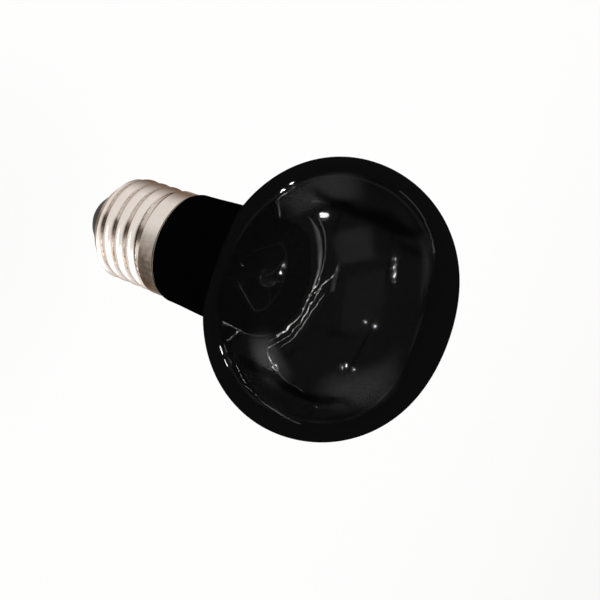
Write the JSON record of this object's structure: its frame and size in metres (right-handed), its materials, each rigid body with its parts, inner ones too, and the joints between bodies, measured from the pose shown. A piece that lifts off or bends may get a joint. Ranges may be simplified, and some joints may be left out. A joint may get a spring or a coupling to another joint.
{
  "type": "reflector heat lamp",
  "caption": "Dark glass reflector heat lamp for a reptile enclosure: a flattened globe on a short black neck, silvered bowl, wire-held filament and a plated screw cap.",
  "frame": {"origin": "on the face of the centre contact, on the lamp's axis", "axes": "+Z runs along the lamp's axis from the centre contact to the dome; the two leads lie in the XZ plane and the filament bows towards +Y"},
  "size_m": [0.0642, 0.0642, 0.095],
  "materials": {
    "dark_glass": "gloss, near-black see-through glass, silvered inside the bowl",
    "clear_glass": "gloss, clear",
    "plated_shell": "nickel plating, bright, slightly warm",
    "black_glass": "gloss, black",
    "contact_metal": "dull plated brass",
    "solder": "dull solder",
    "cement": "matt cement",
    "lead_wire": "nickel wire",
    "tungsten": "dark tungsten",
    "support_wire": "molybdenum wire"
  },
  "bodies": {
    "root": {"glass_envelope": "dark_glass", "glass_stem": "clear_glass", "screw_shell": "plated_shell", "cap_insulator": "black_glass", "centre_contact": "contact_metal", "contact_solder": "solder", "basing_cement": "cement", "lead_wire_centre": "lead_wire", "lead_wire_side": "lead_wire", "filament": "tungsten", "support_wire_1": "support_wire", "support_wire_2": "support_wire", "support_wire_3": "support_wire"}
  },
  "joints": []
}
